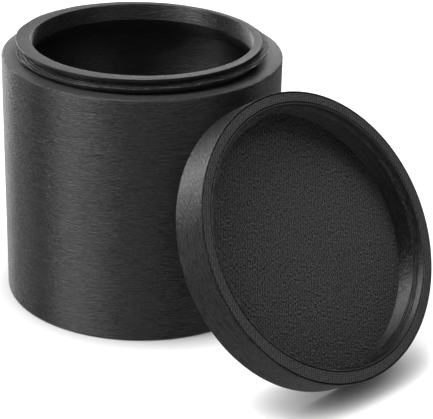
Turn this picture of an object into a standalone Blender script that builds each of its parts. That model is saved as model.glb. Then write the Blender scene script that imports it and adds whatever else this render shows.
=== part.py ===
"""Film developing tank: a threaded cylindrical pot, its screw lid leaning against it, and the reel inside.

Run with blender --background --python part.py, or from Blender's text editor.
Metres, +Z up. The origin is the centre of the pot's flat base.
"""
import math

import bmesh
import bpy
from mathutils import Matrix, Vector

MM = 0.001
GAP = 0.3 * MM                          # clearance between pieces that rest on or touch each other
ROUND_STEPS = 72                        # facets round the pot and the lid
SMALL_STEPS = 32                        # facets round the column, its knob and the reel's hub

# Pot
POT_RADIUS = 50.0 * MM
POT_WALL = 3.0 * MM
POT_FLOOR = 3.0 * MM
SHOULDER_HEIGHT = 90.0 * MM
RIM_HEIGHT = 95.2 * MM
NECK_BORE_RADIUS = 39.4 * MM
NECK_BORE_DEPTH = 6.1 * MM              # straight bore below the rim, before the inside widens at 45 degrees
EDGE_CHAMFER = 0.6 * MM
BOSS_RADIUS = 7.2 * MM                  # peg on the pot's floor that centres the column
BOSS_HEIGHT = 2.0 * MM

# Screw thread: right-hand, almost flat on top, overhanging below
THREAD_PITCH = 4.0 * MM
FLANK_RISE = 0.9 * MM                   # from the crest up to the root
NECK_CREST_RADIUS = 45.0 * MM
NECK_ROOT_RADIUS = 41.3 * MM
NECK_FLANK_DROP = 3.05 * MM             # from the crest down to the root
NECK_CREST_FRONT = 92.2 * MM            # height of the crest where it faces -Y

# Lid
LID_RADIUS = 50.0 * MM
LID_HEIGHT = 14.0 * MM
LID_FLOOR = 1.8 * MM
LID_BORE_RADIUS = 45.7 * MM
LID_CREST_RADIUS = 43.6 * MM
LID_FLANK_DROP = 2.1 * MM
LID_CREST_DEPTH = 2.75 * MM             # depth of the crest below the mouth, at angle zero
LID_THREAD_START = (-230.0, -170.0)     # the thread grows to full depth between these angles
LID_THREAD_END = (170.0, 320.0)         # and fades out between these
LID_CHAMFER = 0.4 * MM
LID_TILT = math.radians(33.3)           # the lid's open axis above the horizontal, as it leans
LID_AZIMUTH = math.radians(-47.8)       # the side of the pot that the lid leans on

# Centre column, its knob and the clip that holds the reel down
COLUMN_FOOT_RADIUS = 22.0 * MM
COLUMN_FOOT_THICKNESS = 3.0 * MM
COLUMN_RADIUS = 11.0 * MM
COLUMN_BORE_RADIUS = 8.0 * MM
COLUMN_TOP = 70.0 * MM
KNOB_STEM_RADIUS = 7.6 * MM
KNOB_STEM_LENGTH = 10.0 * MM
KNOB_RADIUS = 11.0 * MM
KNOB_HEIGHT = 4.0 * MM
KNOB_CHAMFER = 1.0 * MM
CLIP_INNER_RADIUS = 11.35 * MM
CLIP_OUTER_RADIUS = 14.5 * MM
CLIP_HEIGHT = 3.0 * MM
CLIP_OPENING = math.radians(60.0)

# Reel for film 35 mm wide
REEL_RADIUS = 35.5 * MM
REEL_BORE_RADIUS = 11.5 * MM
FLANGE_THICKNESS = 2.4 * MM
FILM_SPACE = 35.4 * MM                  # between the two flanges' faces
CORE_RADIUS = 13.0 * MM                 # tube on the lower flange
CORE_LENGTH = 33.6 * MM
SLEEVE_INNER_RADIUS = 13.3 * MM         # tube on the upper flange, which turns on the core
SLEEVE_OUTER_RADIUS = 14.8 * MM
SLEEVE_LENGTH = 33.5 * MM
SPIRAL_TURNS = 11
SPIRAL_STEPS = 24                       # facets in one turn
SPIRAL_START_RADIUS = 15.3 * MM
SPIRAL_PITCH = 1.5 * MM
RIB_WIDTH = 0.7 * MM
RIB_HEIGHT = 1.4 * MM
LUG_HALF_ANGLE = math.radians(5.0)      # lug on the core, which stops the twist
LUG_HEIGHTS = (0.8 * MM, 4.0 * MM)      # above the lower flange's face
LUG_OUTER_RADIUS = 14.5 * MM
TWIST_LIMIT = math.radians(17.0)
NOTCH_HEIGHT = 4.4 * MM                 # above the lower flange's face

# Steel balls that grip the film's edges
BALL_RADIUS = 1.5 * MM
BALL_ORBIT = 33.0 * MM                  # distance from the reel's axis
BALL_DEPTH = 1.45 * MM                  # ball's centre below the flange's face
BALL_TRAVEL = 0.6 * MM                  # each way, round the reel
POCKET_WIDTH = 3.6 * MM
POCKET_DEPTH = (0.5 * MM, 3.1 * MM)     # below the flange's face, under the lip
POCKET_MOUTH_WIDTH = 2.7 * MM
HOUSING_WIDTH = 4.4 * MM
HOUSING_LENGTH = 8.0 * MM
HOUSING_DEPTH = 3.9 * MM                # below the flange's face

COLUMN_BASE = POT_FLOOR + GAP
REEL_BASE = COLUMN_BASE + COLUMN_FOOT_THICKNESS + GAP
LOWER_FACE = REEL_BASE + FLANGE_THICKNESS
UPPER_FACE = LOWER_FACE + FILM_SPACE
REEL_TOP = UPPER_FACE + FLANGE_THICKNESS


def clear_scene():
    for item in list(bpy.data.objects):
        bpy.data.objects.remove(item, do_unlink=True)


def material(name, colour, roughness, metallic=0.0):
    made = bpy.data.materials.new(name)
    made.use_nodes = True
    shader = made.node_tree.nodes["Principled BSDF"]
    shader.inputs["Base Color"].default_value = (*colour, 1.0)
    shader.inputs["Roughness"].default_value = roughness
    shader.inputs["Metallic"].default_value = metallic
    return made


def add_object(name, bm, finish, parent=None):
    """Turn a bmesh into a named object with smooth round walls and crisp edges."""
    bmesh.ops.recalc_face_normals(bm, faces=bm.faces)
    mesh = bpy.data.meshes.new(name)
    bm.to_mesh(mesh)
    bm.free()
    mesh.shade_smooth()
    mesh.set_sharp_from_angle(angle=math.radians(30.0))
    mesh.materials.append(finish)
    made = bpy.data.objects.new(name, mesh)
    bpy.context.scene.collection.objects.link(made)
    made.parent = parent
    return made


def add_empty(name, location):
    made = bpy.data.objects.new(name, None)
    made.location = location
    bpy.context.scene.collection.objects.link(made)
    return made


class Skin:
    """Collects faces, joining the points that fall in the same place."""

    def __init__(self):
        self.bm = bmesh.new()
        self.known = {}

    def vert(self, x, y, z):
        key = (round(x * 1e7), round(y * 1e7), round(z * 1e7))
        if key not in self.known:
            self.known[key] = self.bm.verts.new((x, y, z))
        return self.known[key]

    def ring_vert(self, radius, angle, z):
        return self.vert(radius * math.cos(angle), radius * math.sin(angle), z)

    def face(self, corners):
        kept = []
        for corner in corners:
            if corner not in kept:
                kept.append(corner)
        if len(kept) > 2:
            self.bm.faces.new(kept)


def lathe(outline_at, steps):
    """Skin a solid of revolution whose closed outline, a list of (radius, z), may change with the angle."""
    skin = Skin()
    angles = [math.tau * step / steps for step in range(steps)] + [0.0]
    turns = [math.tau * step / steps for step in range(steps + 1)]
    columns = []
    for angle, turn in zip(angles, turns):
        columns.append([skin.ring_vert(radius, angle, z) for radius, z in outline_at(turn)])
    for here, there in zip(columns, columns[1:]):
        for index in range(len(here)):
            after = (index + 1) % len(here)
            skin.face([here[index], there[index], there[after], here[after]])
    return skin.bm


def thread_points(base_radius, crest_radius, crest_height, drop, depth_share):
    """The three corners of one thread turn in section, from below to above."""
    crest = base_radius + (crest_radius - base_radius) * depth_share
    return [
        (base_radius, crest_height - drop * depth_share),
        (crest, crest_height),
        (base_radius, crest_height + FLANK_RISE * depth_share),
    ]


def radius_at(points, height):
    """Radius of a rising outline at a height."""
    if height <= points[0][1]:
        return points[0][0]
    for (low_radius, low), (high_radius, high) in zip(points, points[1:]):
        if low <= height <= high and high > low:
            return low_radius + (high_radius - low_radius) * (height - low) / (high - low)
    return points[-1][0]


def clip_outline(points, low, high):
    """Move the points outside a band of heights onto its ends, along the outline."""
    clipped = [(radius_at(points, low), low)]
    for radius, height in points:
        if height <= low:
            clipped.append(clipped[0])
        elif height >= high:
            clipped.append((radius_at(points, high), high))
        else:
            clipped.append((radius, height))
    clipped.append((radius_at(points, high), high))
    return clipped


def neck_thread(turn):
    """Outside of the neck, from the shoulder to the rim; turn zero faces +X."""
    points = []
    for lap in range(-1, 3):
        rise = THREAD_PITCH * (turn / math.tau + lap + 0.25)
        crest_height = NECK_CREST_FRONT + rise - THREAD_PITCH
        points += thread_points(NECK_ROOT_RADIUS, NECK_CREST_RADIUS, crest_height, NECK_FLANK_DROP, 1.0)
    return clip_outline(points, SHOULDER_HEIGHT, RIM_HEIGHT)


def pot_outline(turn):
    inner_radius = POT_RADIUS - POT_WALL
    bore_end = RIM_HEIGHT - NECK_BORE_DEPTH
    outline = [
        (0.0, 0.0),
        (POT_RADIUS - EDGE_CHAMFER, 0.0),
        (POT_RADIUS, EDGE_CHAMFER),
        (POT_RADIUS, SHOULDER_HEIGHT - EDGE_CHAMFER),
        (POT_RADIUS - EDGE_CHAMFER, SHOULDER_HEIGHT),
    ]
    outline += neck_thread(turn)
    outline += [
        (NECK_BORE_RADIUS, RIM_HEIGHT),
        (NECK_BORE_RADIUS, bore_end),
        (inner_radius, bore_end - (inner_radius - NECK_BORE_RADIUS)),
        (inner_radius, POT_FLOOR),
        (BOSS_RADIUS, POT_FLOOR),
        (BOSS_RADIUS, POT_FLOOR + BOSS_HEIGHT),
        (0.0, POT_FLOOR + BOSS_HEIGHT),
    ]
    return outline


def ramp(value, start, end):
    return min(1.0, max(0.0, (value - start) / (end - start)))


def lid_thread(turn):
    """Inside of the lid from its floor to its mouth, in the lid's own frame."""
    points = []
    for lap in (-1, 0):
        degrees = math.degrees(turn) + 360.0 * lap
        share = ramp(degrees, *LID_THREAD_START) * (1.0 - ramp(degrees, *LID_THREAD_END))
        crest_height = LID_HEIGHT - LID_CREST_DEPTH + THREAD_PITCH * degrees / 360.0
        if share == 0.0:
            crest_height = LID_FLOOR if lap < 0 else LID_HEIGHT + THREAD_PITCH
        points += thread_points(LID_BORE_RADIUS, LID_CREST_RADIUS, crest_height, LID_FLANK_DROP, share)
    return clip_outline(points, LID_FLOOR, LID_HEIGHT)


def lid_outline(turn):
    outline = [
        (0.0, 0.0),
        (LID_RADIUS - LID_CHAMFER, 0.0),
        (LID_RADIUS, LID_CHAMFER),
        (LID_RADIUS, LID_HEIGHT - LID_CHAMFER),
        (LID_RADIUS - LID_CHAMFER, LID_HEIGHT),
    ]
    outline += reversed(lid_thread(turn))
    outline.append((0.0, LID_FLOOR))
    return outline


def build_pot(finish):
    add_object("tank_body", lathe(pot_outline, ROUND_STEPS), finish)


def build_lid(finish):
    """The lid stands on its closed end's edge and leans on the pot; its parent is the edge it tips on."""
    reach = POT_RADIUS + GAP + (LID_RADIUS - LID_CHAMFER) * math.sin(LID_TILT)
    reach += LID_RADIUS * math.sin(LID_TILT) + LID_CHAMFER * math.cos(LID_TILT)
    edge = add_empty("lid_edge", (reach * math.cos(LID_AZIMUTH), reach * math.sin(LID_AZIMUTH), 0.0))
    edge.rotation_euler = (0.0, 0.0, LID_AZIMUTH)
    lid = add_object("lid", lathe(lid_outline, ROUND_STEPS), finish, edge)
    lid_up = Vector((-math.sin(LID_TILT), 0.0, math.cos(LID_TILT)))
    open_axis = Vector((math.cos(LID_TILT), 0.0, math.sin(LID_TILT)))
    lid.location = lid_up * LID_RADIUS - open_axis * LID_CHAMFER
    sideways = lid_up.cross(open_axis)
    lid.rotation_euler = Matrix((sideways, lid_up, open_axis)).transposed().to_euler()


def build_column(finish):
    base = COLUMN_BASE
    foot_top = base + COLUMN_FOOT_THICKNESS
    outline = [
        (COLUMN_BORE_RADIUS, base),
        (COLUMN_FOOT_RADIUS - EDGE_CHAMFER, base),
        (COLUMN_FOOT_RADIUS, base + EDGE_CHAMFER),
        (COLUMN_FOOT_RADIUS, foot_top),
        (COLUMN_RADIUS, foot_top),
        (COLUMN_RADIUS, COLUMN_TOP),
        (COLUMN_BORE_RADIUS, COLUMN_TOP),
    ]
    add_object("center_column", lathe(lambda turn: outline, SMALL_STEPS), finish)


def build_knob(finish):
    seat = COLUMN_TOP + GAP
    top = seat + KNOB_HEIGHT
    outline = [
        (0.0, COLUMN_TOP - KNOB_STEM_LENGTH),
        (KNOB_STEM_RADIUS, COLUMN_TOP - KNOB_STEM_LENGTH),
        (KNOB_STEM_RADIUS, seat),
        (KNOB_RADIUS, seat),
        (KNOB_RADIUS, top - KNOB_CHAMFER),
        (KNOB_RADIUS - KNOB_CHAMFER, top),
        (0.0, top),
    ]
    add_object("column_knob", lathe(lambda turn: outline, SMALL_STEPS), finish)


def build_clip(finish):
    """A springy open ring on the column, just above the reel."""
    base = REEL_TOP + GAP
    section = [
        (CLIP_INNER_RADIUS, base),
        (CLIP_OUTER_RADIUS, base),
        (CLIP_OUTER_RADIUS, base + CLIP_HEIGHT),
        (CLIP_INNER_RADIUS, base + CLIP_HEIGHT),
    ]
    skin = Skin()
    columns = []
    for step in range(SPIRAL_STEPS + 1):
        angle = CLIP_OPENING / 2.0 + (math.tau - CLIP_OPENING) * step / SPIRAL_STEPS
        columns.append([skin.ring_vert(radius, angle, z) for radius, z in section])
    for here, there in zip(columns, columns[1:]):
        for index in range(len(section)):
            after = (index + 1) % len(section)
            skin.face([here[index], there[index], there[after], here[after]])
    skin.face(columns[0])
    skin.face(columns[-1])
    add_object("reel_clip", skin.bm, finish)


class Flange:
    """Half of the reel: a disc with a spiral rib on its face and a tube round its bore.

    level maps a height above the face to z, so that the upper flange is the lower one turned over.
    """

    def __init__(self, face, facing, tube_inner, tube_outer, tube_length):
        self.face = face
        self.facing = facing
        self.tube_inner = tube_inner
        self.tube_outer = tube_outer
        self.tube_length = tube_length
        self.skin = Skin()

    def level(self, height):
        return self.face + self.facing * height

    def ring(self, radius, height):
        angles = [math.tau * step / SPIRAL_STEPS for step in range(SPIRAL_STEPS)]
        return [self.skin.ring_vert(radius, angle, self.level(height)) for angle in angles]

    def band(self, one, two):
        for step in range(SPIRAL_STEPS):
            after = (step + 1) % SPIRAL_STEPS
            self.skin.face([one[step], one[after], two[after], two[step]])

    def rib_corners(self):
        """Corners of the rib's section at each step: foot and top inside, top and foot outside."""
        corners = []
        for step in range(SPIRAL_TURNS * SPIRAL_STEPS + 1):
            angle = math.tau * (step % SPIRAL_STEPS) / SPIRAL_STEPS
            middle = SPIRAL_START_RADIUS + SPIRAL_PITCH * step / SPIRAL_STEPS
            inner = middle - RIB_WIDTH / 2.0
            outer = middle + RIB_WIDTH / 2.0
            corners.append([
                self.skin.ring_vert(inner, angle, self.level(0.0)),
                self.skin.ring_vert(inner, angle, self.level(RIB_HEIGHT)),
                self.skin.ring_vert(outer, angle, self.level(RIB_HEIGHT)),
                self.skin.ring_vert(outer, angle, self.level(0.0)),
            ])
        return corners

    def spiral_face(self, hub, rim):
        """The disc's face between the tube and the rim, with the spiral rib standing on it."""
        face = self.skin.face
        rib = self.rib_corners()
        last = len(rib) - 1
        for here, there in zip(rib, rib[1:]):
            for side in range(3):
                face([here[side], there[side], there[side + 1], here[side + 1]])
        face(rib[0])
        face(rib[last])
        for step in range(last - SPIRAL_STEPS):
            across = step + SPIRAL_STEPS
            face([rib[step][3], rib[step + 1][3], rib[across + 1][0], rib[across][0]])
        for step in range(SPIRAL_STEPS - 1):
            face([hub[step], hub[step + 1], rib[step + 1][0], rib[step][0]])
        face([hub[-1], hub[0], rib[0][0], rib[0][3], rib[SPIRAL_STEPS][0], rib[SPIRAL_STEPS - 1][0]])
        first = last - SPIRAL_STEPS
        face([rib[first][3], rib[last][0], rib[last][3], rim[0], rim[1], rib[first + 1][3]])
        for step in range(1, SPIRAL_STEPS):
            after = (step + 1) % SPIRAL_STEPS
            face([rib[first + step][3], rib[first + step + 1][3], rim[after], rim[step]])

    def build(self):
        hub = self.ring(self.tube_outer, 0.0)
        rim = self.ring(REEL_RADIUS, 0.0)
        self.spiral_face(hub, rim)
        tube_end = self.ring(self.tube_outer, self.tube_length)
        self.band(hub, tube_end)
        bore_end = self.ring(self.tube_inner, self.tube_length)
        self.band(tube_end, bore_end)
        bore_step = self.ring(self.tube_inner, 0.0)
        self.band(bore_end, bore_step)
        hole_step = self.ring(REEL_BORE_RADIUS, 0.0)
        self.band(bore_step, hole_step)
        hole_end = self.ring(REEL_BORE_RADIUS, -FLANGE_THICKNESS)
        self.band(hole_step, hole_end)
        back = self.ring(REEL_RADIUS, -FLANGE_THICKNESS)
        self.band(hole_end, back)
        self.band(back, rim)
        return self.skin.bm


def wedge(name, radii, half_angle, heights):
    """A block bounded by two radii, two angles either side of +X and two heights."""
    skin = Skin()
    corners = []
    for z in heights:
        for radius in radii:
            for angle in (-half_angle, half_angle):
                corners.append(skin.ring_vert(radius, angle, z))
    near_low, far_low, near_high, far_high = (corners[i:i + 2] for i in (0, 2, 4, 6))
    skin.face([near_low[0], near_low[1], far_low[1], far_low[0]])
    skin.face([near_high[0], near_high[1], far_high[1], far_high[0]])
    skin.face([near_low[0], near_low[1], near_high[1], near_high[0]])
    skin.face([far_low[0], far_low[1], far_high[1], far_high[0]])
    skin.face([near_low[0], far_low[0], far_high[0], near_high[0]])
    skin.face([near_low[1], far_low[1], far_high[1], near_high[1]])
    return add_tool(name, skin.bm)


def block(name, width, length, heights, angle):
    """A box at the balls' distance from the axis, width along the radius and length across it."""
    bm = bmesh.new()
    size = Matrix.Diagonal((width, length, abs(heights[1] - heights[0]), 1.0))
    place = Matrix.Translation((BALL_ORBIT, 0.0, (heights[0] + heights[1]) / 2.0))
    turn = Matrix.Rotation(angle, 4, "Z")
    bmesh.ops.create_cube(bm, size=1.0, matrix=turn @ place @ size)
    return add_tool(name, bm)


def add_tool(name, bm):
    """A shape that only cuts or joins another one."""
    bmesh.ops.recalc_face_normals(bm, faces=bm.faces)
    mesh = bpy.data.meshes.new(name)
    bm.to_mesh(mesh)
    bm.free()
    tool = bpy.data.objects.new(name, mesh)
    bpy.context.scene.collection.objects.link(tool)
    tool.hide_render = True
    tool.display_type = "WIRE"
    return tool


def combine(target, operation, tool):
    modifier = target.modifiers.new(tool.name, "BOOLEAN")
    modifier.operation = operation
    modifier.object = tool
    modifier.solver = "EXACT"


def add_ball_pocket(flange, shape, label, angle):
    """A housing behind the flange's face, with a pocket whose narrower mouth keeps the ball in."""
    housing = (shape.level(-1.0 * MM), shape.level(-HOUSING_DEPTH))
    pocket = (shape.level(-POCKET_DEPTH[0]), shape.level(-POCKET_DEPTH[1]))
    mouth = (shape.level(1.0 * MM), shape.level(-1.0 * MM))
    travel = 2.0 * BALL_TRAVEL
    combine(flange, "UNION", block(label + "_housing", HOUSING_WIDTH, HOUSING_LENGTH, housing, angle))
    combine(flange, "DIFFERENCE", block(label + "_pocket", POCKET_WIDTH, POCKET_WIDTH + travel, pocket, angle))
    mouth_length = POCKET_MOUTH_WIDTH + travel
    combine(flange, "DIFFERENCE", block(label + "_mouth", POCKET_MOUTH_WIDTH, mouth_length, mouth, angle))


def build_ball(name, shape, angle, finish):
    bm = bmesh.new()
    bmesh.ops.create_uvsphere(bm, u_segments=12, v_segments=8, radius=BALL_RADIUS)
    ball = add_object(name, bm, finish)
    x = BALL_ORBIT * math.cos(angle)
    y = BALL_ORBIT * math.sin(angle)
    ball.location = (x, y, shape.level(-BALL_DEPTH))


def build_reel(plastic, steel):
    ball_angle = math.radians(12.0)
    lower_shape = Flange(LOWER_FACE, 1.0, REEL_BORE_RADIUS, CORE_RADIUS, CORE_LENGTH)
    lower = add_object("reel_lower_flange", lower_shape.build(), plastic)
    lug_heights = [lower_shape.level(height) for height in LUG_HEIGHTS]
    lug = wedge("twist_lug", (CORE_RADIUS - GAP, LUG_OUTER_RADIUS), LUG_HALF_ANGLE, lug_heights)
    combine(lower, "UNION", lug)
    add_ball_pocket(lower, lower_shape, "lower", ball_angle)

    upper_shape = Flange(UPPER_FACE, -1.0, SLEEVE_INNER_RADIUS, SLEEVE_OUTER_RADIUS, SLEEVE_LENGTH)
    upper = add_object("reel_upper_flange", upper_shape.build(), plastic)
    notch_heights = (LOWER_FACE, LOWER_FACE + NOTCH_HEIGHT)
    notch_radii = (SLEEVE_INNER_RADIUS - 1.0 * MM, SLEEVE_OUTER_RADIUS + 1.0 * MM)
    notch = wedge("twist_notch", notch_radii, LUG_HALF_ANGLE + TWIST_LIMIT, notch_heights)
    combine(upper, "DIFFERENCE", notch)
    add_ball_pocket(upper, upper_shape, "upper", ball_angle)

    build_ball("grip_ball_lower", lower_shape, ball_angle, steel)
    build_ball("grip_ball_upper", upper_shape, ball_angle, steel)


def main():
    clear_scene()
    printed = material("printed_black", (0.022, 0.022, 0.024), 0.62)
    moulded = material("moulded_black", (0.015, 0.015, 0.016), 0.45)
    reel_black = material("reel_black", (0.018, 0.018, 0.019), 0.50)
    spring = material("clip_black", (0.02, 0.02, 0.02), 0.50)
    steel = material("ball_steel", (0.62, 0.62, 0.64), 0.20, 1.0)
    build_pot(printed)
    build_lid(printed)
    build_column(moulded)
    build_knob(moulded)
    build_clip(spring)
    build_reel(reel_black, steel)


main()
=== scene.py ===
"""Looks of the film developing tank: a printed pot with a threaded neck, its leaning screw lid, and the reel.

The pot and the lid are rebuilt as finer turned skins whose threads show their print layers. The pieces held
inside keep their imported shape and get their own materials.
"""
import math

import bpy
import numpy as np
from mathutils import Matrix, Vector


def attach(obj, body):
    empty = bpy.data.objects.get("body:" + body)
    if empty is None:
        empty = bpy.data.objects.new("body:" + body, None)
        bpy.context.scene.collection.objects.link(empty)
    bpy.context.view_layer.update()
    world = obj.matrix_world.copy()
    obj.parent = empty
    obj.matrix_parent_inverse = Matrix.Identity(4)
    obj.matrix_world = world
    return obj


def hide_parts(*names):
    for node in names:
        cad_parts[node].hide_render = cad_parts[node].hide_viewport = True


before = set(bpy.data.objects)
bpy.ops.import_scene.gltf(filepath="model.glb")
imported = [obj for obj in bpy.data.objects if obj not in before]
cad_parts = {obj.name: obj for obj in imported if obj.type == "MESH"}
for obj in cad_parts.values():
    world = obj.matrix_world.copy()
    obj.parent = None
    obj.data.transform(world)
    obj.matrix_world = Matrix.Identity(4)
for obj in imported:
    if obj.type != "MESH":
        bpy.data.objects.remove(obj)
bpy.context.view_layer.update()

MM = 0.001
UPRIGHT = Matrix.Identity(4)            # the frame of a piece that stands as it was printed

# Camera, in metres and radians
CAMERA_PLACE = (0.0, -0.53926, 0.27641)
CAMERA_YAW = 0.0517
CAMERA_PITCH = 0.4310                   # below the horizon
CAMERA_ROLL = 0.0275
CAMERA_LENS = 132.35
SENSOR_WIDTH = 36.0
NEAREST_SEEN = 0.01

# Pot, as packed
POT_RADIUS = 50.0 * MM
POT_INNER_RADIUS = 47.0 * MM
POT_FLOOR = 3.0 * MM
SHOULDER_HEIGHT = 90.0 * MM
RIM_HEIGHT = 95.2 * MM
NECK_BORE_RADIUS = 39.4 * MM
NECK_BORE_DEPTH = 6.1 * MM
EDGE_CHAMFER = 0.6 * MM
PEG_RADIUS = 7.2 * MM
PEG_HEIGHT = 2.0 * MM
PEG_CHAMFER = 0.3 * MM

# Thread, as packed
THREAD_PITCH = 4.0 * MM
FRONT_LEAD = 0.25                       # turns from the front round to the X axis, where angles start
FLANK_RISE = 0.9 * MM
NECK_CREST_RADIUS = 45.0 * MM
NECK_ROOT_RADIUS = 41.3 * MM
NECK_FLANK_DROP = 3.05 * MM
NECK_CREST_FRONT = 92.2 * MM

# Lid, as packed
LID_RADIUS = 50.0 * MM
LID_HEIGHT = 14.0 * MM
LID_FLOOR = 1.8 * MM
LID_BORE_RADIUS = 45.7 * MM
LID_CREST_RADIUS = 43.6 * MM
LID_FLANK_DROP = 2.1 * MM
LID_CREST_DEPTH = 2.75 * MM
LID_THREAD_START = (-230.0, -170.0)
LID_THREAD_END = (170.0, 320.0)
LID_CHAMFER = 0.4 * MM
LID_TILT = math.radians(33.3)
LID_AZIMUTH = math.radians(-47.8)
LEAN_GAP = 0.3 * MM

# Print relief
COLUMNS = 240
LAYER = 0.25 * MM
GROOVE = 0.025 * MM                     # how far the seam between two layers lies back
SEAM_SHARE = 0.3                        # part of a layer's height that curves back to a seam
BAND = 1.0 * MM                         # height of the slow waves in a printed wall
BAND_DEPTH = 0.012 * MM
SEAM_WIDTH = 0.6 * MM                   # the groove between two printed lines of the lid's mouth
SEAM_DEPTH = 0.8 * MM
SEAM_INSET = 0.5 * MM                   # how far that groove lies from the edge of the ring
OUTER_WAVES, BORE_WAVES, INNER_WAVES, LID_WAVES = 11, 12, 13, 21

# Rounded edges
SHOULDER_EDGE = (0.2 * MM, 0.15 * MM)   # a point on the shoulder's edge: how far in, and how far down
RIM_EDGE = 0.12 * MM
BORE_EDGE = 0.35 * MM
FINE_EDGE = 0.1 * MM
LID_MOUTH_EDGE = 0.25 * MM

WALL, FLAT, FLOOR = 0, 1, 2             # material slots of a printed skin
SHARP_ANGLE = math.radians(30.0)

# Black plastic: mean base level, its swing either way, and how strongly the surface reflects. Every surface
# is the same plastic, so the paler levels of the shoulder, the lid's mouth and the floors than of the walls
# are painted light.
WALL_LEVEL = 0.008
SHOULDER_LEVEL = 0.015
MOUTH_LEVEL = 0.031
FLOOR_LEVEL = 0.029
SWING = 0.9
WALL_SPECULAR = 0.70
SHOULDER_SPECULAR = 0.42
MOUTH_SPECULAR = 0.38
FLOOR_SPECULAR = 0.46
PRINT_ROUGHNESS = (0.58, 0.44)          # of the darkest and of the palest marks
PALE_RANGE = (0.41, 0.59)               # noise values that give the darkest and the palest marks
NOISE_RANGE = (0.3, 0.7)                # the values that noise mostly keeps to
STRETCH = 1.0                           # how far printed lines draw reflections out
TINT = (1.0, 1.0, 1.03)

# Printed marks: noise cells to the metre, spacing of lines, and depth of relief
WALL_GRAIN = (700.0, 700.0, 2600.0)
WALL_STREAKS = (180.0, 180.0, 2600.0)
WALL_RELIEF = 0.6 * MM
RING_GRAIN = (2800.0, 2800.0, 2800.0)
RING_GRAIN_RANGE = (0.15, 0.85)
RING_LINE = 0.8 * MM
RING_LINE_SHARE = 0.05
HATCH_LINE = 0.9 * MM
HATCH_SHARE = 0.08
RING_RELIEF = 0.15 * MM
FLOOR_MARKS = (2300.0, 1200.0, 0.0)     # across the fill lines, and along them
FILL_LINE = 1.0 * MM
FILL_LINE_SHARE = 0.05
FLOOR_RELIEF = 0.35 * MM
LID_FILL = (0.895, -0.446, 0.0)         # across the fill lines, in the lid's own frame
POT_FILL = (0.7071, 0.7071, 0.0)

# Inner pieces
PLASTICS = {
    # node: (name of its material, base level, roughness)
    "center_column": ("column_plastic", 0.015, 0.42),
    "column_knob": ("knob_plastic", 0.015, 0.40),
    "reel_clip": ("clip_plastic", 0.020, 0.48),
    "reel_lower_flange": ("lower_flange_plastic", 0.018, 0.46),
    "reel_upper_flange": ("upper_flange_plastic", 0.018, 0.46),
}
BALLS = ("grip_ball_lower", "grip_ball_upper")
PLASTIC_GRAIN = (900.0, 900.0, 900.0)
PLASTIC_CLOUDS = (60.0, 60.0, 60.0)
PLASTIC_RELIEF = 0.03 * MM
PLASTIC_SHADES = (0.8, 1.25)            # darkest and palest clouds, as shares of the base level
PLASTIC_GLOSS = (-0.05, 0.07)           # how far the grain takes the roughness down and up
STEEL_SCRATCHES = (2500.0, 2500.0, 6000.0)
STEEL_RELIEF = 0.004 * MM
STEEL_LEVELS = (0.52, 0.66)
STEEL_ROUGHNESS = (0.14, 0.28)

# Studio
WHITE = (1.0, 1.0, 1.0, 1.0)
PAPER_REACH = 3.0                       # how far the floor reaches each way
PAPER_COLOUR = (0.42, 0.42, 0.42, 1.0)
PAPER_ROUGHNESS = 0.9
PAPER_SPECULAR = 0.1
PAPER_GLOW = 0.74                       # the paper's own light, which keeps it white away from the object
PAPER_SHADE_REACH = 14.0 * MM           # how near a piece must be to shade that light
PAPER_SHADE_POWER = 2.0
GLOW_BELOW = 0.56                       # light from all round, below the horizon and above it
GLOW_ABOVE = 0.24
HORIZON_BLEND = 0.15                    # sine of the angle over which one turns into the other
LIGHTS = {
    # name: (bearing, height angle, size, watts); bearing 0 is the viewer's side, and 90 is to the right
    "top": (0, 90, 0.5, 3.7),
    "back_low": (170, 12, 0.28, 1.3),
    "back_mid": (172, 34, 0.28, 1.4),
    "back_left_low": (203, 12, 0.28, 3.0),
    "left_back_low": (225, 12, 0.28, 2.6),
    "left_low": (252, 12, 0.28, 1.0),
    "front_left_low": (300, 12, 0.28, 1.05),
    "left_front_mid": (285, 36, 0.28, 1.75),
    "right_front_high": (60, 62, 0.4, 1.6),
    "left_high": (270, 62, 0.4, 9.4),
    "left_front_high": (300, 62, 0.4, 3.3),
}
LIGHT_DISTANCE = 1.1
LIGHT_AIM = (0.02, -0.02, 0.05)


# ---------------------------------------------------------------- shapes

def thread_points(base_radius, crest_radius, crest_height, drop, share):
    """One thread ridge's outline, from low to high; the share says how much of its full size it has."""
    crest = base_radius + (crest_radius - base_radius) * share
    return [
        (base_radius, crest_height - drop * share),
        (crest, crest_height),
        (base_radius, crest_height + FLANK_RISE * share),
    ]


def radius_at(points, height):
    """Radius of an outline of (radius, height) points at a height."""
    if height <= points[0][1]:
        return points[0][0]
    for (low_radius, low), (high_radius, high) in zip(points, points[1:]):
        if low <= height <= high and high > low:
            return low_radius + (high_radius - low_radius) * (height - low) / (high - low)
    return points[-1][0]


def ramp(value, start, end):
    """How far a value has come from start to end, between 0 and 1."""
    return min(1.0, max(0.0, (value - start) / (end - start)))


def neck_points(turn):
    """Outline of the neck's thread where a half plane at this angle cuts it."""
    points = []
    for lap in range(-1, 3):
        rise = THREAD_PITCH * (turn / math.tau + lap + FRONT_LEAD)
        crest_height = NECK_CREST_FRONT + rise - THREAD_PITCH
        points += thread_points(NECK_ROOT_RADIUS, NECK_CREST_RADIUS, crest_height, NECK_FLANK_DROP, 1.0)
    return points


def lid_points(turn):
    """Outline of the lid's thread at this angle; the ridge fades in and out at its ends."""
    points = []
    for lap in (-1, 0):
        degrees = math.degrees(turn) + 360.0 * lap
        share = ramp(degrees, *LID_THREAD_START) * (1.0 - ramp(degrees, *LID_THREAD_END))
        crest_height = LID_HEIGHT - LID_CREST_DEPTH + THREAD_PITCH * degrees / 360.0
        if share == 0.0:
            crest_height = LID_FLOOR if lap < 0 else LID_HEIGHT + THREAD_PITCH
        points += thread_points(LID_BORE_RADIUS, LID_CREST_RADIUS, crest_height, LID_FLANK_DROP, share)
    return points


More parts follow.
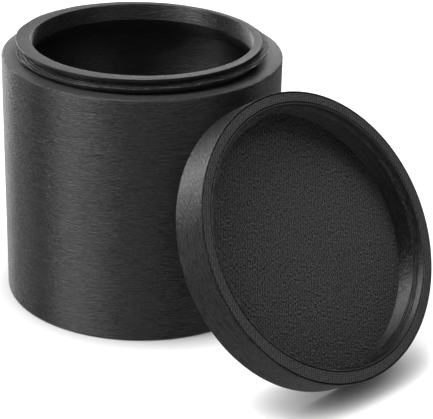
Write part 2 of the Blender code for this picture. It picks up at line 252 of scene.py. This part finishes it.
def layered(points, low, high, outward):
    """The outline between two heights as print layers: upright bands with a seam between them."""
    count = max(1, round((high - low) / LAYER))
    height = (high - low) / count
    back = -GROOVE * outward
    outline = []
    for layer in range(count):
        base = low + height * layer
        radius = radius_at(points, base + height / 2.0)
        outline.append((radius + back, base))
        outline.append((radius, base + SEAM_SHARE * height))
        outline.append((radius, base + (1.0 - SEAM_SHARE) * height))
        outline.append((radius + back, base + height))
    return outline


def wall(radius, low, high, seed):
    """A plain printed wall with slow random waves, from low to high."""
    count = max(1, round((high - low) / BAND))
    waves = np.random.default_rng(seed).uniform(-BAND_DEPTH, 0.0, count + 1)
    return [(radius + waves[i], low + (high - low) * i / count) for i in range(count + 1)]


def seam(radius, height):
    """A narrow groove in a flat ring, between two of its printed lines."""
    half = SEAM_WIDTH / 2.0
    return [(radius + half, height), (radius, height - SEAM_DEPTH), (radius - half, height)]


def with_slot(outline, slot):
    """Each point of an outline with the material slot of the strip after it."""
    return [(radius, z, slot) for radius, z in outline]


def pot_profile(turn):
    """Outline of the pot from the axis under its floor, up, over and down inside, to the axis on the peg."""
    bore_end = RIM_HEIGHT - NECK_BORE_DEPTH
    cone_end = bore_end - (POT_INNER_RADIUS - NECK_BORE_RADIUS)
    profile = [(0.0, 0.0, FLAT), (POT_RADIUS - EDGE_CHAMFER, 0.0, WALL)]
    profile += with_slot(wall(POT_RADIUS, EDGE_CHAMFER, SHOULDER_HEIGHT - EDGE_CHAMFER, OUTER_WAVES), WALL)
    profile += [
        (POT_RADIUS - SHOULDER_EDGE[0], SHOULDER_HEIGHT - SHOULDER_EDGE[1], WALL),
        (POT_RADIUS - EDGE_CHAMFER, SHOULDER_HEIGHT, FLAT),
    ]
    neck = layered(neck_points(turn), SHOULDER_HEIGHT, RIM_HEIGHT, 1.0)
    profile += with_slot(neck[:-1], WALL)
    rim_radius = neck[-2][0]
    profile += [
        (rim_radius - RIM_EDGE, RIM_HEIGHT, FLAT),
        (NECK_BORE_RADIUS + BORE_EDGE, RIM_HEIGHT, WALL),
        (NECK_BORE_RADIUS + FINE_EDGE, RIM_HEIGHT - FINE_EDGE, WALL),
    ]
    profile += with_slot(wall(NECK_BORE_RADIUS, bore_end, RIM_HEIGHT - BORE_EDGE, BORE_WAVES)[::-1], WALL)
    cone = layered([(POT_INNER_RADIUS, cone_end), (NECK_BORE_RADIUS, bore_end)], cone_end, bore_end, -1.0)
    profile += with_slot(cone[::-1], WALL)
    profile += with_slot(wall(POT_INNER_RADIUS, POT_FLOOR, cone_end, INNER_WAVES)[::-1], WALL)
    profile[-1] = (POT_INNER_RADIUS, POT_FLOOR, FLOOR)
    profile += [
        (PEG_RADIUS, POT_FLOOR, WALL),
        (PEG_RADIUS, POT_FLOOR + PEG_HEIGHT - PEG_CHAMFER, WALL),
        (PEG_RADIUS - PEG_CHAMFER, POT_FLOOR + PEG_HEIGHT, FLAT),
        (0.0, POT_FLOOR + PEG_HEIGHT, FLAT),
    ]
    return profile


def lid_profile(turn):
    """Outline of the lid in its own frame, closed end at zero and mouth up."""
    profile = [(0.0, 0.0, FLAT), (LID_RADIUS - LID_CHAMFER, 0.0, WALL)]
    profile += with_slot(wall(LID_RADIUS, LID_CHAMFER, LID_HEIGHT - LID_CHAMFER, LID_WAVES), WALL)
    profile.append((LID_RADIUS - FINE_EDGE, LID_HEIGHT - FINE_EDGE, WALL))
    profile.append((LID_RADIUS - LID_MOUTH_EDGE, LID_HEIGHT, FLAT))
    profile += with_slot(seam(LID_RADIUS - SEAM_INSET, LID_HEIGHT), FLAT)
    inside = layered(lid_points(turn), LID_FLOOR, LID_HEIGHT, -1.0)[::-1]
    profile += with_slot(seam(inside[1][0] + SEAM_INSET, LID_HEIGHT), FLAT)
    profile += with_slot(inside[1:-1], WALL)
    profile.append((inside[-1][0], LID_FLOOR, FLOOR))
    profile.append((0.0, LID_FLOOR, FLOOR))
    return profile


def ring_points(profiles):
    """The two points on the axis, then the points of every profile, each turned to its place."""
    verts = [(0.0, 0.0, profiles[0][0][1]), (0.0, 0.0, profiles[0][-1][1])]
    for step, profile in enumerate(profiles):
        angle = math.tau * step / COLUMNS
        for radius, z, _ in profile[1:-1]:
            verts.append((radius * math.cos(angle), radius * math.sin(angle), z))
    return verts


def ring_faces(profile):
    """Faces between neighbouring profiles, with fans at both ends, and the material slot of each face."""
    ring = len(profile) - 2
    faces, slots = [], []
    for step in range(COLUMNS):
        here = 2 + step * ring
        there = 2 + ((step + 1) % COLUMNS) * ring
        faces.append((0, there, here))
        slots.append(profile[0][2])
        for index in range(ring - 1):
            faces.append((here + index, there + index, there + index + 1, here + index + 1))
            slots.append(profile[index + 1][2])
        faces.append((here + ring - 1, there + ring - 1, 1))
        slots.append(profile[-2][2])
    return faces, slots


def turned(name, profile_at, materials):
    """A closed skin round the Z axis from a profile that starts and ends on the axis."""
    profiles = [profile_at(math.tau * step / COLUMNS) for step in range(COLUMNS)]
    faces, slots = ring_faces(profiles[0])
    mesh = bpy.data.meshes.new(name)
    mesh.from_pydata(ring_points(profiles), [], faces)
    for finish in materials:
        mesh.materials.append(finish)
    mesh.polygons.foreach_set("material_index", slots)
    mesh.shade_smooth()
    mesh.set_sharp_from_angle(angle=SHARP_ANGLE)
    mesh.update()
    made = bpy.data.objects.new(name, mesh)
    bpy.context.scene.collection.objects.link(made)
    return made


def lid_place():
    """Where the leaning lid stands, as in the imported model."""
    reach = POT_RADIUS + LEAN_GAP + (LID_RADIUS - LID_CHAMFER) * math.sin(LID_TILT)
    reach += LID_RADIUS * math.sin(LID_TILT) + LID_CHAMFER * math.cos(LID_TILT)
    outward = Vector((math.cos(LID_AZIMUTH), math.sin(LID_AZIMUTH), 0.0))
    up = Vector((0.0, 0.0, 1.0))
    lid_up = up * math.cos(LID_TILT) - outward * math.sin(LID_TILT)
    open_axis = outward * math.cos(LID_TILT) + up * math.sin(LID_TILT)
    sideways = lid_up.cross(open_axis)
    centre = outward * reach + lid_up * LID_RADIUS - open_axis * LID_CHAMFER
    place = Matrix((sideways, lid_up, open_axis)).transposed().to_4x4()
    place.translation = centre
    return place


# ---------------------------------------------------------------- materials

class Nodes:
    """Short ways to build one material's node tree."""

    def __init__(self, name):
        self.material = bpy.data.materials.new(name)
        self.material.use_nodes = True
        self.tree = self.material.node_tree
        self.shader = self.tree.nodes["Principled BSDF"]

    def link(self, source, target):
        """Feeds a node's output into an input socket."""
        self.tree.links.new(source, target)

    def set(self, socket, value):
        """Links a socket to another one, or gives it a number."""
        if isinstance(value, bpy.types.NodeSocket):
            self.link(value, socket)
        else:
            socket.default_value = value

    def place(self, matrix=UPRIGHT):
        """Coordinates in metres, in the frame that the piece was printed in."""
        coords = self.tree.nodes.new("ShaderNodeTexCoord").outputs["Object"]
        if matrix == UPRIGHT:
            return coords
        back = matrix.inverted()
        mapping = self.tree.nodes.new("ShaderNodeMapping")
        mapping.inputs["Location"].default_value = back.translation
        mapping.inputs["Rotation"].default_value = back.to_euler()
        self.link(coords, mapping.inputs["Vector"])
        return mapping.outputs["Vector"]

    def scaled(self, vector, scale):
        """The vector with each of its parts scaled on its own."""
        node = self.tree.nodes.new("ShaderNodeVectorMath")
        node.operation = "MULTIPLY"
        self.link(vector, node.inputs[0])
        node.inputs[1].default_value = scale
        return node.outputs[0]

    def along(self, vector, direction):
        """How far the vector reaches along a direction."""
        node = self.tree.nodes.new("ShaderNodeVectorMath")
        node.operation = "DOT_PRODUCT"
        self.link(vector, node.inputs[0])
        node.inputs[1].default_value = direction
        return node.outputs["Value"]

    def stretch(self, direction):
        """Draws reflections out along a direction given in the piece's own coordinates."""
        node = self.tree.nodes.new("ShaderNodeVectorTransform")
        node.vector_type = "VECTOR"
        node.convert_from = "OBJECT"
        node.convert_to = "WORLD"
        self.set(node.inputs[0], direction)
        self.link(node.outputs[0], self.shader.inputs["Tangent"])
        self.shader.inputs["Anisotropic"].default_value = STRETCH

    def noise(self, vector, scale, detail):
        """Noise with the given number of cells to the metre along each axis."""
        node = self.tree.nodes.new("ShaderNodeTexNoise")
        self.link(self.scaled(vector, scale), node.inputs["Vector"])
        node.inputs["Scale"].default_value = 1.0
        node.inputs["Detail"].default_value = detail
        node.inputs["Roughness"].default_value = 0.5
        return node.outputs["Fac"]

    def length(self, vector):
        """How long the vector is."""
        node = self.tree.nodes.new("ShaderNodeVectorMath")
        node.operation = "LENGTH"
        self.link(vector, node.inputs[0])
        return node.outputs["Value"]

    def joined(self, x, y):
        """A flat vector from two numbers."""
        node = self.tree.nodes.new("ShaderNodeCombineXYZ")
        self.link(x, node.inputs[0])
        self.link(y, node.inputs[1])
        return node.outputs[0]

    def maths(self, operation, one, two=0.0):
        """The result of an operation on one or two numbers."""
        node = self.tree.nodes.new("ShaderNodeMath")
        node.operation = operation
        self.set(node.inputs[0], one)
        self.set(node.inputs[1], two)
        return node.outputs[0]

    def waves(self, distance, spacing):
        """Even waves between -1 and 1, one to each spacing of the distance."""
        return self.maths("SINE", self.maths("MULTIPLY", distance, math.tau / spacing))

    def span(self, value, low, high, to_low, to_high):
        """Carries a value from one range to another, and stops at both ends."""
        node = self.tree.nodes.new("ShaderNodeMapRange")
        self.link(value, node.inputs["Value"])
        for name, number in (("From Min", low), ("From Max", high), ("To Min", to_low), ("To Max", to_high)):
            node.inputs[name].default_value = number
        return node.outputs["Result"]

    def grey(self, value):
        """A faintly blue colour from a grey level."""
        node = self.tree.nodes.new("ShaderNodeCombineColor")
        for socket, share in zip(node.inputs, TINT):
            self.set(socket, self.maths("MULTIPLY", value, share))
        return node.outputs[0]

    def openness(self, reach):
        """One where nothing stands near the surface, and less beside and under a piece, as a painted contact
        shadow.
        """
        node = self.tree.nodes.new("ShaderNodeAmbientOcclusion")
        node.inputs["Distance"].default_value = reach
        return node.outputs["AO"]

    def bump(self, height, distance):
        """Relief of a height between 0 and 1, as deep as the distance."""
        node = self.tree.nodes.new("ShaderNodeBump")
        node.inputs["Strength"].default_value = 1.0
        node.inputs["Distance"].default_value = distance
        self.link(height, node.inputs["Height"])
        self.link(node.outputs["Normal"], self.shader.inputs["Normal"])


def printed(n, shade, level, specular, relief):
    """Shared finish of every printed surface: dark and pale marks that follow its relief, paler where it
    stands up and darker where it lies back, partly random tone and partly painted light and shade of that
    relief.
    """
    n.bump(shade, relief)
    pale = n.span(shade, *PALE_RANGE, level * (1.0 - SWING), level * (1.0 + SWING))
    n.link(n.grey(pale), n.shader.inputs["Base Color"])
    n.link(n.span(shade, *NOISE_RANGE, *PRINT_ROUGHNESS), n.shader.inputs["Roughness"])
    n.shader.inputs["Specular IOR Level"].default_value = specular
    return n.material


def printed_wall(name, matrix):
    """Stacked print layers: they spread reflections along the axis, and their fine streaks in the base level
    are partly painted light and shade of the layers' bulges.
    """
    n = Nodes(name)
    place = n.place(matrix)
    grain = n.noise(place, WALL_GRAIN, 1.0)
    streaks = n.noise(place, WALL_STREAKS, 1.0)
    shade = n.maths("ADD", n.maths("MULTIPLY", grain, 0.5), n.maths("MULTIPLY", streaks, 0.5))
    n.stretch(tuple(matrix.col[2][:3]))
    return printed(n, shade, WALL_LEVEL, WALL_SPECULAR, WALL_RELIEF)


def printed_ring(name, matrix, across, level, specular):
    """A flat ring laid in lines that follow its edge, with the straight fill showing through."""
    n = Nodes(name)
    place = n.place(matrix)
    radius = n.length(n.scaled(place, (1.0, 1.0, 0.0)))
    lines = n.maths("MULTIPLY", n.waves(radius, RING_LINE), RING_LINE_SHARE)
    fill = n.maths("MULTIPLY", n.waves(n.along(place, across), HATCH_LINE), HATCH_SHARE)
    grain = n.span(n.noise(place, RING_GRAIN, 1.0), 0.0, 1.0, *RING_GRAIN_RANGE)
    shade = n.maths("ADD", grain, n.maths("ADD", lines, fill))
    return printed(n, shade, level, specular, RING_RELIEF)


def printed_floor(name, matrix, across):
    """A closed face laid in straight parallel lines, broken up by short marks."""
    n = Nodes(name)
    place = n.place(matrix)
    sideways = n.along(place, across)
    lengthways = n.along(place, (-across[1], across[0], 0.0))
    marks = n.noise(n.joined(sideways, lengthways), FLOOR_MARKS, 1.0)
    lines = n.maths("MULTIPLY", n.waves(sideways, FILL_LINE), FILL_LINE_SHARE)
    n.stretch(tuple(matrix.to_3x3() @ Vector(across)))
    return printed(n, n.maths("ADD", marks, lines), FLOOR_LEVEL, FLOOR_SPECULAR, FLOOR_RELIEF)


def moulded(name, level, roughness):
    """Smooth plastic with a faint grain and soft clouds."""
    n = Nodes(name)
    place = n.place()
    grain = n.noise(place, PLASTIC_GRAIN, 3.0)
    clouds = n.noise(place, PLASTIC_CLOUDS, 2.0)
    n.bump(grain, PLASTIC_RELIEF)
    shades = [level * share for share in PLASTIC_SHADES]
    n.link(n.grey(n.span(clouds, *NOISE_RANGE, *shades)), n.shader.inputs["Base Color"])
    glosses = [roughness + change for change in PLASTIC_GLOSS]
    n.link(n.span(grain, *NOISE_RANGE, *glosses), n.shader.inputs["Roughness"])
    return n.material


def steel(name):
    """Bright steel with fine scratches."""
    n = Nodes(name)
    scratches = n.noise(n.place(), STEEL_SCRATCHES, 3.0)
    n.bump(scratches, STEEL_RELIEF)
    n.link(n.grey(n.span(scratches, *NOISE_RANGE, *STEEL_LEVELS)), n.shader.inputs["Base Color"])
    n.link(n.span(scratches, *NOISE_RANGE, *STEEL_ROUGHNESS), n.shader.inputs["Roughness"])
    n.shader.inputs["Metallic"].default_value = 1.0
    return n.material


# ---------------------------------------------------------------- pieces

def build_pot():
    """The pot's skin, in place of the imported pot."""
    materials = [
        printed_wall("pot_wall", UPRIGHT),
        printed_ring("pot_top", UPRIGHT, POT_FILL, SHOULDER_LEVEL, SHOULDER_SPECULAR),
        printed_floor("pot_floor", UPRIGHT, POT_FILL),
    ]
    pot = turned("pot_skin", pot_profile, materials)
    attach(pot, "pot")
    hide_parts("tank_body")


def build_lid():
    """The lid's skin, made flat in its own frame and carried to where the lid leans."""
    place = lid_place()
    materials = [
        printed_wall("lid_wall", place),
        printed_ring("lid_mouth", place, LID_FILL, MOUTH_LEVEL, MOUTH_SPECULAR),
        printed_floor("lid_floor", place, LID_FILL),
    ]
    lid = turned("lid_skin", lid_profile, materials)
    lid.data.transform(place)
    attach(lid, "screw_lid")
    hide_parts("lid")


def dress_inner_pieces():
    """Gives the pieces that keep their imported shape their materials."""
    finishes = {node: moulded(*plastic) for node, plastic in PLASTICS.items()}
    finishes.update(dict.fromkeys(BALLS, steel("ball_steel_finish")))
    for node, finish in finishes.items():
        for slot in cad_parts[node].material_slots:
            slot.material = finish


# ---------------------------------------------------------------- studio

def add_camera():
    """The camera that sees both pieces as the photo does."""
    forward = Vector((
        math.sin(CAMERA_YAW) * math.cos(CAMERA_PITCH),
        math.cos(CAMERA_YAW) * math.cos(CAMERA_PITCH),
        -math.sin(CAMERA_PITCH),
    ))
    level_right = Vector((math.cos(CAMERA_YAW), -math.sin(CAMERA_YAW), 0.0))
    level_up = level_right.cross(forward)
    right = level_right * math.cos(CAMERA_ROLL) + level_up * math.sin(CAMERA_ROLL)
    up = level_up * math.cos(CAMERA_ROLL) - level_right * math.sin(CAMERA_ROLL)
    data = bpy.data.cameras.new("camera")
    data.lens = CAMERA_LENS
    data.sensor_width = SENSOR_WIDTH
    data.sensor_fit = "HORIZONTAL"
    data.clip_start = NEAREST_SEEN
    camera = bpy.data.objects.new("camera", data)
    place = Matrix((right, up, -forward)).transposed().to_4x4()
    place.translation = CAMERA_PLACE
    camera.matrix_world = place
    bpy.context.scene.collection.objects.link(camera)
    bpy.context.scene.camera = camera


def studio_paper():
    """White paper that glows evenly, with a painted contact shadow that dims the glow close beside and under
    a piece.
    """
    n = Nodes("studio_paper")
    n.shader.inputs["Base Color"].default_value = PAPER_COLOUR
    n.shader.inputs["Roughness"].default_value = PAPER_ROUGHNESS
    n.shader.inputs["Specular IOR Level"].default_value = PAPER_SPECULAR
    n.shader.inputs["Emission Color"].default_value = WHITE
    # painted contact shadow: the paper's glow fades close beside and under a piece
    shade = n.maths("POWER", n.openness(PAPER_SHADE_REACH), PAPER_SHADE_POWER)
    n.link(n.maths("MULTIPLY", shade, PAPER_GLOW), n.shader.inputs["Emission Strength"])
    return n.material


def add_floor():
    """A plain sheet of paper under the object."""
    far = PAPER_REACH
    mesh = bpy.data.meshes.new("studio_floor")
    mesh.from_pydata([(-far, -far, 0), (far, -far, 0), (far, far, 0), (-far, far, 0)], [], [(0, 1, 2, 3)])
    mesh.materials.append(studio_paper())
    floor = bpy.data.objects.new("studio_floor", mesh)
    floor.visible_glossy = False        # the print reflects the lamps, and not the whole white paper
    bpy.context.scene.collection.objects.link(floor)


def add_light(name, bearing, height, size, watts):
    """A square soft box on a sphere round the object, facing it."""
    turn, lift = math.radians(bearing), math.radians(height)
    toward = Vector((math.sin(turn) * math.cos(lift), -math.cos(turn) * math.cos(lift), math.sin(lift)))
    data = bpy.data.lights.new(name, "AREA")
    data.shape = "SQUARE"
    data.size = size
    data.energy = watts
    light = bpy.data.objects.new(name, data)
    light.location = Vector(LIGHT_AIM) + toward * LIGHT_DISTANCE
    light.rotation_euler = toward.to_track_quat("Z", "Y").to_euler()
    bpy.context.scene.collection.objects.link(light)


def add_world():
    """Soft light from all round: dim above the horizon, and brighter below it, where the paper would be."""
    world = bpy.data.worlds.new("studio")
    world.use_nodes = True
    nodes = world.node_tree.nodes
    link = world.node_tree.links.new
    coords = nodes.new("ShaderNodeTexCoord")
    parts = nodes.new("ShaderNodeSeparateXYZ")
    glow = nodes.new("ShaderNodeMapRange")
    glow.inputs["From Min"].default_value = -HORIZON_BLEND
    glow.inputs["From Max"].default_value = HORIZON_BLEND
    glow.inputs["To Min"].default_value = GLOW_BELOW
    glow.inputs["To Max"].default_value = GLOW_ABOVE
    link(coords.outputs["Generated"], parts.inputs[0])
    link(parts.outputs["Z"], glow.inputs["Value"])
    link(glow.outputs["Result"], nodes["Background"].inputs["Strength"])
    nodes["Background"].inputs["Color"].default_value = WHITE
    bpy.context.scene.world = world


bpy.context.scene.view_settings.view_transform = "Standard"
add_camera()
add_floor()
add_world()
for name, settings in LIGHTS.items():
    add_light(name, *settings)
build_pot()
build_lid()
dress_inner_pieces()
